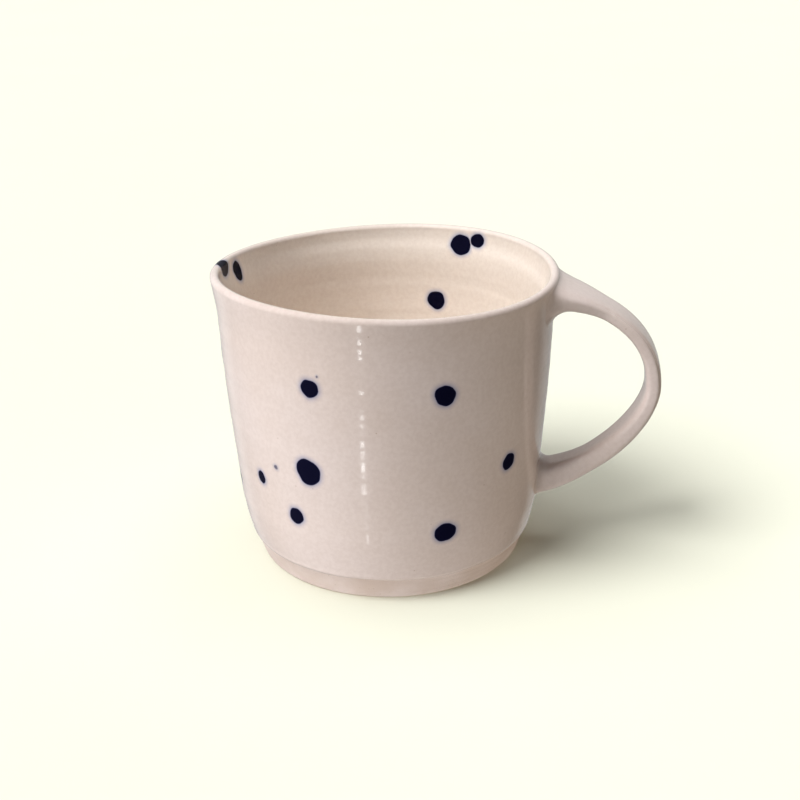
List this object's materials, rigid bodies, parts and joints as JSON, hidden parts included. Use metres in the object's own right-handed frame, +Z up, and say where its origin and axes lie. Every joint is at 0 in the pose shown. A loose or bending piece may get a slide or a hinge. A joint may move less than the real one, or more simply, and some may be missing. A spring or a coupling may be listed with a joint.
{
  "type": "mug",
  "caption": "Hand-thrown stoneware mug with a pulled strap handle, clear glaze, cobalt dots and a bare turned foot band.",
  "frame": {"origin": "centre of the flat foot, on the cup's turning axis, where the mug stands", "axes": "+Z up along the cup's axis, +X from the cup's axis out through the middle of the handle"},
  "size_m": [0.1169, 0.09, 0.0776],
  "materials": {
    "bare_clay": "matte bare stoneware, turned smooth",
    "clear_glaze": "glossy clear glaze over pinkish buff clay",
    "liner_glaze": "glossy clear liner glaze, slightly creamier",
    "slip": "matte joining slip, hidden in the handle roots",
    "cobalt": "glossy cobalt-stained glaze"
  },
  "bodies": {
    "root": {"thrown_body": "bare_clay", "pulled_handle": "bare_clay", "outer_glaze": "clear_glaze", "liner_glaze": "liner_glaze", "handle_glaze": "clear_glaze", "upper_root_slip": "slip", "lower_root_slip": "slip", "cobalt_dot_outside_01": "cobalt", "cobalt_dot_outside_02": "cobalt", "cobalt_dot_outside_03": "cobalt", "cobalt_dot_outside_04": "cobalt", "cobalt_dot_outside_05": "cobalt", "cobalt_dot_outside_06": "cobalt", "cobalt_dot_outside_07": "cobalt", "cobalt_dot_outside_08": "cobalt", "cobalt_dot_outside_09": "cobalt", "cobalt_dot_outside_10": "cobalt", "cobalt_dot_outside_11": "cobalt", "cobalt_dot_outside_12": "cobalt", "cobalt_dot_outside_13": "cobalt", "cobalt_dot_outside_14": "cobalt", "cobalt_dot_outside_15": "cobalt", "cobalt_dot_outside_16": "cobalt", "cobalt_dot_outside_17": "cobalt", "cobalt_dot_inside_01": "cobalt", "cobalt_dot_inside_02": "cobalt", "cobalt_dot_inside_03": "cobalt", "cobalt_dot_inside_04": "cobalt", "cobalt_dot_inside_05": "cobalt", "cobalt_dot_inside_06": "cobalt", "cobalt_dot_inside_07": "cobalt", "cobalt_dot_inside_08": "cobalt"}
  },
  "joints": []
}
